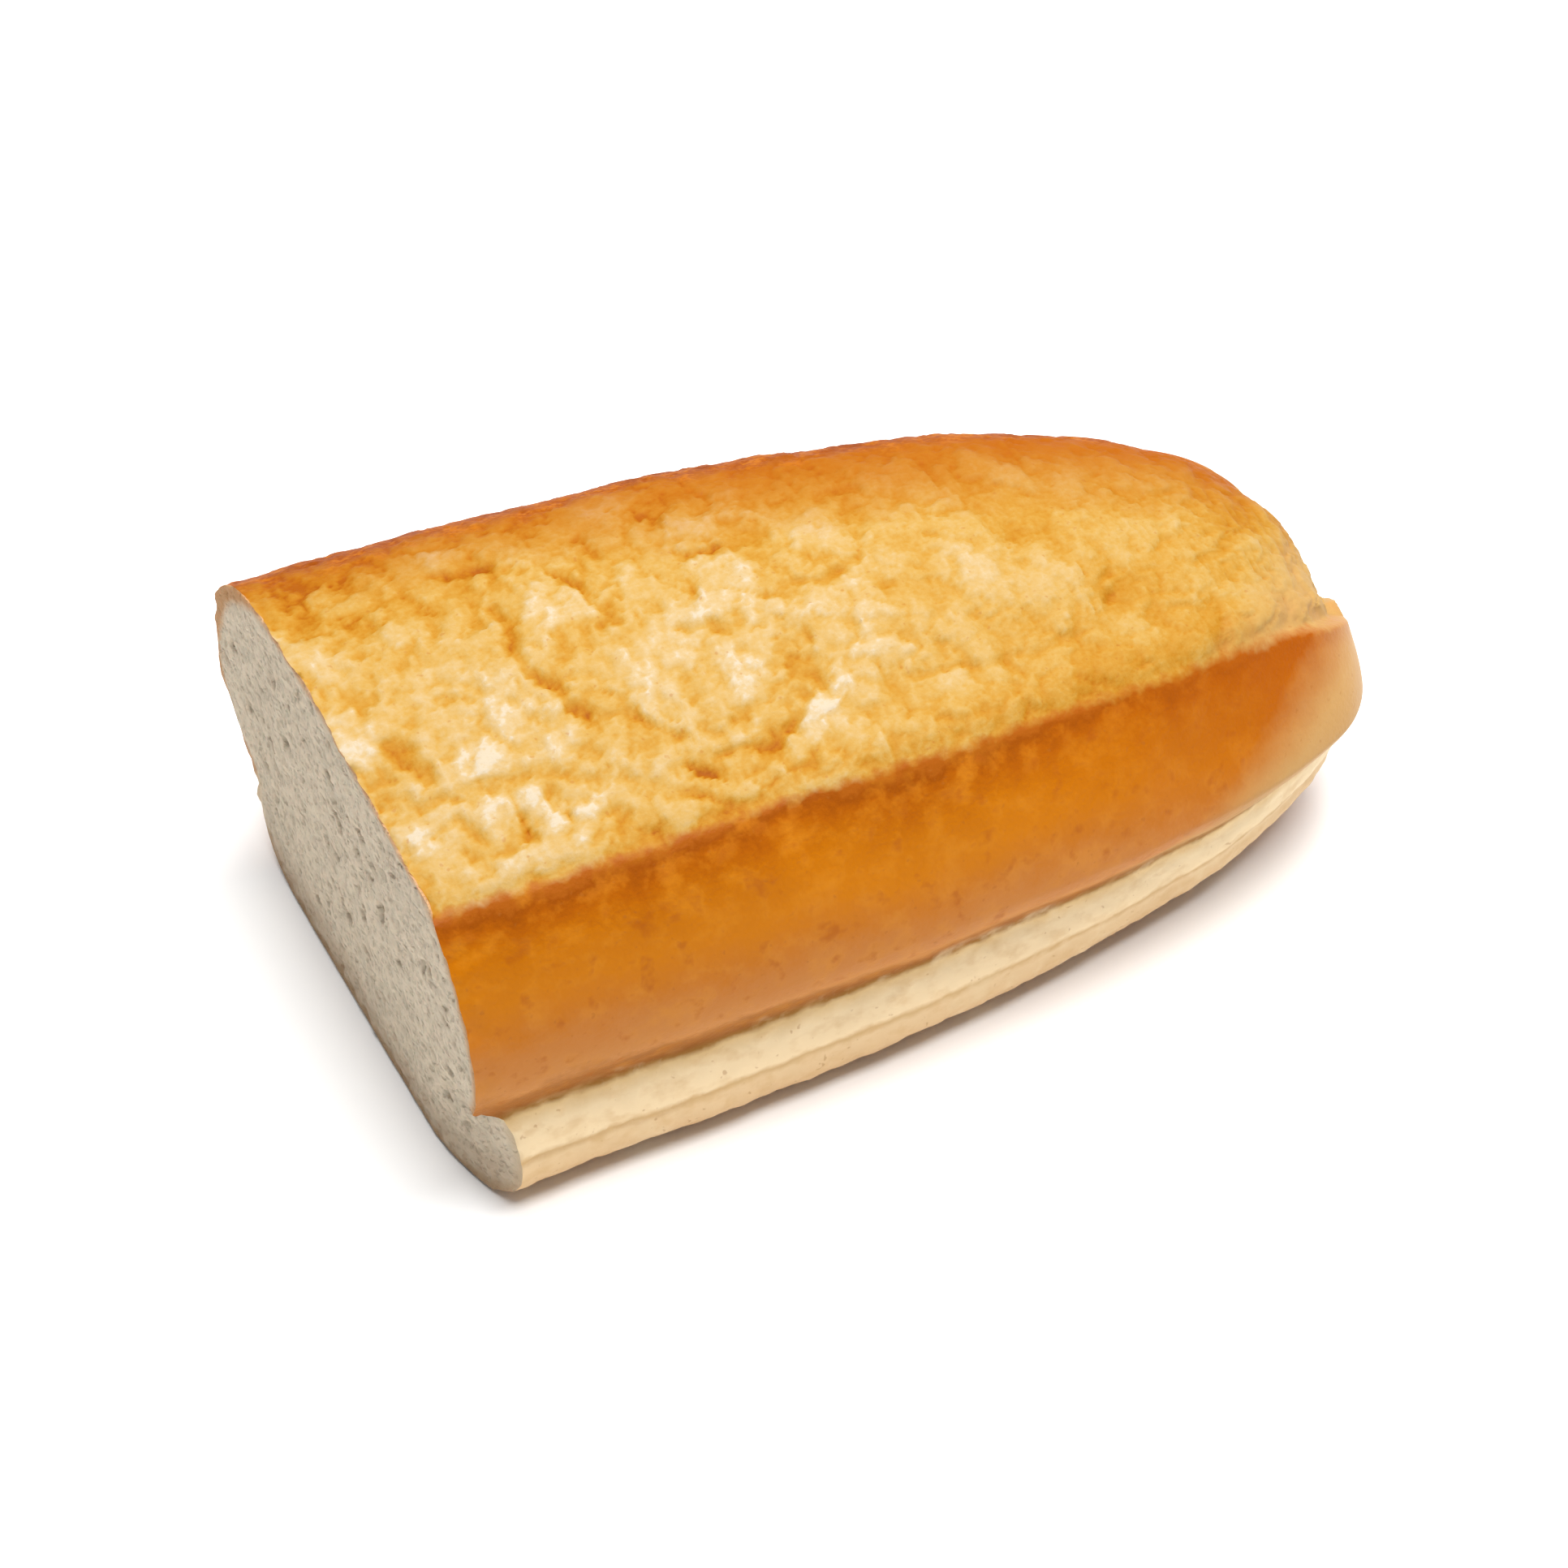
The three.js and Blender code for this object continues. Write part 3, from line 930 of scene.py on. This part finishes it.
browned = put("ShaderNodeValToRGB", (browned,), stops=browned_stops)
score_layers = ((tan_end, "#B3905A"), (far_side, "#9A5006"), (far_edge, browned))
score_colour = layered(put, score_colour, score_layers)
print(f"the score has {len(score_stops)} hues and {len(score_layers)} layers")

# %% Crust: the flanks
FLANK_DEPTH = 25.0  # from the ridge down to the crease
# The darkest stops just under the ridge are partly a darker bake and partly painted shade; the paler tan
# lower down is partly a paler bake and partly painted light from the white table; the darker last stop,
# just above the crease, is painted shade.
flank_stops = (
    (0.0, "#984F0C"),
    (0.035, "#8C4403"),
    (0.1, "#A05202"),
    (0.24, "#B46602"),
    (0.42, "#BC6E08"),
    (0.56, "#B86C1A"),
    (0.7, "#BA7432"),
    (0.9, "#BF7E3E"),
    (1.0, "#A06228"),
)
below_ridge = put("ShaderNodeMath", (at["score"], -1 / FLANK_DEPTH), operation="MULTIPLY")
tapering = put("ShaderNodeMapRange", (at["along"], 0.45 * LENGTH, 0.9 * LENGTH, 1.0, 1.45))
below_ridge = put("ShaderNodeMath", (below_ridge, tapering), operation="MULTIPLY")
below_ridge = weighted(put, below_ridge, (floury, 0.08), (blotches, 0.22), (broad, 0.2))
flank_colour = put("ShaderNodeValToRGB", (below_ridge,), stops=flank_stops)
golden = weighted(put, blotches, (blistered, 0.8))
golden = put("ShaderNodeMapRange", (golden, -0.02, 0.25, 0.0, 0.34))
freckles = put("ShaderNodeMapRange", (blistered, 0.08, 0.22, 0.0, 0.5))
deep = weighted(put, at["along"], (broad, 16))
deep = put("ShaderNodeMapRange", (deep, 0.55 * LENGTH, 0.85 * LENGTH, 0.0, 0.75))
high_up = put("ShaderNodeMapRange", (below_ridge, 0.35, 0.75, 1.0, 0.0))
deep = put("ShaderNodeMath", (deep, high_up), operation="MULTIPLY")
# A paler nose round the tip: painted light where the flank turns towards the lamp.
nose = weighted(put, at["along"], (at["score"], -1.6), (blistered, 3), (broad, 6))
nose = put("ShaderNodeMapRange", (nose, 0.915 * LENGTH, 1.0 * LENGTH, 0.0, 0.9))
flank_layers = ((golden, "#CC8424"), (freckles, "#9A4A0C"), (deep, "#9C4C02"), (nose, "#BB9258"))
flank_colour = layered(put, flank_colour, flank_layers)
print(f"the flanks have {len(flank_stops)} hues and {len(flank_layers)} layers")

# %% Crust: the band and the base
BAND_SPAN = 4.0
# The dark stops at the crease and the duller cream at the band's top edge are painted shade under the
# flank's overhang.
band_stops = (  # 0 is the crease, 1 the band's lower edge, 2 the base corner
    (-1.0, "#BB7A38"),
    (-0.12, "#8C500C"),
    (0.02, "#976828"),
    (0.14, "#DDBD88"),
    (0.45, "#F0D8AE"),
    (0.9, "#EFD6AC"),
    (1.02, "#CDAA78"),
    (1.14, "#E2C498"),
    (1.8, "#DAB482"),
    (2.2, "#B87F42"),
    (4.0, "#AC7238"),
)
band_place = weighted(put, at["band"], (grain_of(put, 2.6), 0.2))
band_place = put("ShaderNodeMapRange", (band_place, -1, BAND_SPAN))
band_stops = [((place + 1) / (BAND_SPAN + 1), hue) for place, hue in band_stops]
band_colour = put("ShaderNodeValToRGB", (band_place,), stops=band_stops)
threads = grain_of(put, 1.6, 3.0, (0.6, 1, 1))
threads = put("ShaderNodeMapRange", (threads, 0.0, 0.2, 0.0, 0.34))
flour = weighted(put, broad, (blistered, 0.5))
flour = put("ShaderNodeMapRange", (flour, 0.04, 0.16, 0.0, 0.4))
band_colour = layered(put, band_colour, ((threads, "#CDA46C"), (flour, "#EAD2A8")))
print(f"the band and the base have {len(band_stops)} hues")

# %% Crust: put together
in_band = weighted(put, at["band"], (blistered, 0.4))
in_band = put("ShaderNodeMapRange", (in_band, -0.3, 0.0))
in_score = weighted(put, at["score"], (blistered, 2.4))
in_score = put("ShaderNodeMapRange", (in_score, -0.5, 0.7))
speckle = put("ShaderNodeMapRange", (grain_of(put, 0.8, 1.0), 0.2, 0.28, 0.0, 0.35))
crust_layers = ((in_band, band_colour), (in_score, score_colour), (speckle, "#9A5A20"))
crust_colour = layered(put, flank_colour, crust_layers)
bumps = put("ShaderNodeBump", {"Strength": 0.35, "Distance": 0.2 * MM, "Height": floury})
dullness = put("ShaderNodeMapRange", (in_score, 0.0, 1.0, 0.42, 0.6))
crust.node_tree.links.new(crust_colour, sockets["Base Color"])
crust.node_tree.links.new(bumps, sockets["Normal"])
crust.node_tree.links.new(dullness, sockets["Roughness"])
print(f"the crust has {len(crust.node_tree.nodes)} nodes")

# %% [markdown]
# ## Crumb: the soft inside
#
# The crumb is baked starch full of gas bubbles. To the eye it is matt and off-white, and a little
# light passes through it, so the shader has a high roughness and a little subsurface. Its hues are
# a darker grey-beige than real crumb, which paints in part of the shade that the cut face stands
# in, and its pores and bubbles are darker still, which is painted shade in the hollows. Just inside
# the rim the crust shows as a thin brown line, which fades into the crumb; it is thicker at the far
# ridge and browner at the base.

# %% Crumb: pores and bubbles
CRUMB = {
    "Roughness": 0.85,
    "Specular IOR Level": 0.2,
    "Subsurface Weight": 0.1,
    "Subsurface Scale": 2 * MM,
}
crumb, sockets, put = principled("open_crumb", CRUMB)
at = {}
for name in ("around", "inside", "band", "pores"):
    at[name] = put("ShaderNodeAttribute", out=2, attribute_name=name)
fine, medium, broad = (grain_of(put, size) for size in (0.5, 1.7, 9.0))
place = put("ShaderNodeTexCoord", out=3)
place = put("ShaderNodeVectorMath", (place, (1 / MM,) * 3), operation="MULTIPLY")
stirred = put("ShaderNodeTexNoise", {"Vector": place, "Scale": 0.9, "Detail": 2.0}, 1)
stirred = put("ShaderNodeVectorMath", (stirred, (1.3,) * 3, place), operation="MULTIPLY_ADD")
bubbles = put("ShaderNodeTexVoronoi", {"Vector": stirred, "Scale": 1.2})
bubbles = put("ShaderNodeMapRange", (bubbles, 0.55, 0.1), **SMOOTH)
# Grey-beige hues darker than real crumb paint in part of the cut face's shade; the pores and bubbles
# that darken the tone are painted shade in the hollows.
crumb_stops = ((0.0, "#D2C2AA"), (0.35, "#BEB09A"), (0.8, "#AA9B84"), (1.0, "#988A70"))
tone = weighted(
    put, 0.1, (at["pores"], 0.55), (bubbles, 0.3), (fine, 0.4), (medium, 0.6), (broad, 0.35)
)
crumb_colour = put("ShaderNodeValToRGB", (tone,), stops=crumb_stops)
print(f"bubbles are about {1 / 1.2:.1f} mm wide")

# %% Crumb: the rim and the base
RIM_DEPTH = 2.0
rim_stops = ((0.0, "#B4885C"), (0.3, "#C09C78"), (1.0, "#BCAA92"))
from_ridge = put("ShaderNodeMath", (at["around"], LEFT_RIDGE), operation="SUBTRACT")
from_ridge = put("ShaderNodeMath", (from_ridge,), operation="ABSOLUTE")
thicker = put("ShaderNodeMapRange", (from_ridge, 6.0, 14.0, 1.6, 0.0))
from_rim = weighted(put, at["inside"], (medium, 0.5), (thicker, -1.0))
rim_colour = put("ShaderNodeMapRange", (from_rim, 0.0, RIM_DEPTH))
rim_colour = put("ShaderNodeValToRGB", (rim_colour,), stops=rim_stops)
at_band = put("ShaderNodeMapRange", (at["band"], -0.2, 0.2))
at_base = put("ShaderNodeMapRange", (at["band"], 1.5, 2.3))
rim_colour = layered(put, rim_colour, ((at_band, "#C8B496"), (at_base, "#A08460")))
from_rim = weighted(put, from_rim, (at_base, -1.2))
past_rim = put("ShaderNodeMapRange", (from_rim, 0.3, 1.6))
lowest = put("ShaderNodeSeparateXYZ", (place,), 2)
lowest = weighted(put, lowest, (medium, 8), (broad, 6))
lowest = put("ShaderNodeMapRange", (lowest, 1.0, 8.0, 0.65, 0.0))
crumb_colour = layered(put, rim_colour, ((past_rim, crumb_colour), (lowest, "#A08468")))
bumps = weighted(put, fine, (bubbles, -0.9))
bumps = put("ShaderNodeBump", {"Strength": 0.6, "Distance": 0.3 * MM, "Height": bumps})
crumb.node_tree.links.new(crumb_colour, sockets["Base Color"])
crumb.node_tree.links.new(bumps, sockets["Normal"])
print(f"the crumb has {len(crumb.node_tree.nodes)} nodes")

# %% [markdown]
# ## Evaluate the relief
#
# The tree's inputs are set by their sockets' identifiers before it is evaluated. The evaluated
# result becomes a plain mesh, and the modifier is taken off again. Shading stays smooth over the
# crust and breaks only at the sharp rim of the cut.

# %% Apply the relief
RIM_ANGLE = math.radians(62)
values = {**RELIEF_SIZES, "Crust": crust, "Crumb": crumb}
relief = roll.modifiers.new("relief", "NODES")
relief.node_group = tree
for item in tree.interface.items_tree:
    if item.in_out == "INPUT" and item.name in values:
        relief[item.identifier] = values[item.name]
bpy.context.view_layer.update()
evaluated = roll.evaluated_get(bpy.context.evaluated_depsgraph_get())
finished = bpy.data.meshes.new_from_object(evaluated)
roll.modifiers.remove(relief)
roll.data = finished
finished.set_sharp_from_angle(angle=RIM_ANGLE)
triangles = sum(len(face.vertices) - 2 for face in finished.polygons)
print(f"the half roll has {triangles} triangles and {len(finished.materials)} materials")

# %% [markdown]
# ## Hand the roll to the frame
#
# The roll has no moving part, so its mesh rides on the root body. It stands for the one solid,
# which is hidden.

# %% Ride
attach(roll, "root")
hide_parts(NODE)
print(f"{roll.name} rides on root in place of {NODE}")

# %% [markdown]
# ## Floor and light
#
# The floor is a matt white table, bright enough to look like plain paper. A pale world and one
# large lamp over the roll's rounded end give soft, tight shadows, and leave the cut face and the
# near flank in light shade. A small lamp would draw hard shadows of every flake.

# %% Floor
HALF_FLOOR = 3.0  # metres
corners = [(x * HALF_FLOOR, y * HALF_FLOOR, 0) for x, y in ((-1, -1), (1, -1), (1, 1), (-1, 1))]
floor_mesh = bpy.data.meshes.new("floor")
floor_mesh.from_pydata(corners, [], [(0, 1, 2, 3)])
floor = bpy.data.objects.new("floor", floor_mesh)
bpy.context.scene.collection.objects.link(floor)
WHITE_TABLE = {"Base Color": (0.95, 0.95, 0.95, 1), "Roughness": 0.9}
floor_mesh.materials.append(principled("white_table", WHITE_TABLE)[0])
print(f"the floor is {2 * HALF_FLOOR:.0f} m wide")

# %% World and lamp
WORLD_STRENGTH = 0.27
KEY_PLACE = Vector((0.12, 0.02, 0.8))
KEY_AIM = Vector((0, 0, 0.02))
KEY_SIDE = 0.7
KEY_POWER = 14.0

world = bpy.data.worlds.new("studio")
bpy.context.scene.world = world
world.use_nodes = True
background = world.node_tree.nodes["Background"].inputs
background["Color"].default_value = (1, 1, 1, 1)
background["Strength"].default_value = WORLD_STRENGTH

key = bpy.data.lights.new("key", "AREA")
key.size = KEY_SIDE
key.energy = KEY_POWER
lamp = bpy.data.objects.new("key", key)
lamp.location = KEY_PLACE
lamp.rotation_euler = (KEY_AIM - KEY_PLACE).to_track_quat("-Z", "Y").to_euler()
bpy.context.scene.collection.objects.link(lamp)
bpy.context.scene.view_settings.view_transform = "Standard"
print(f"one lamp of {KEY_POWER:.0f} W, {KEY_SIDE} m square")
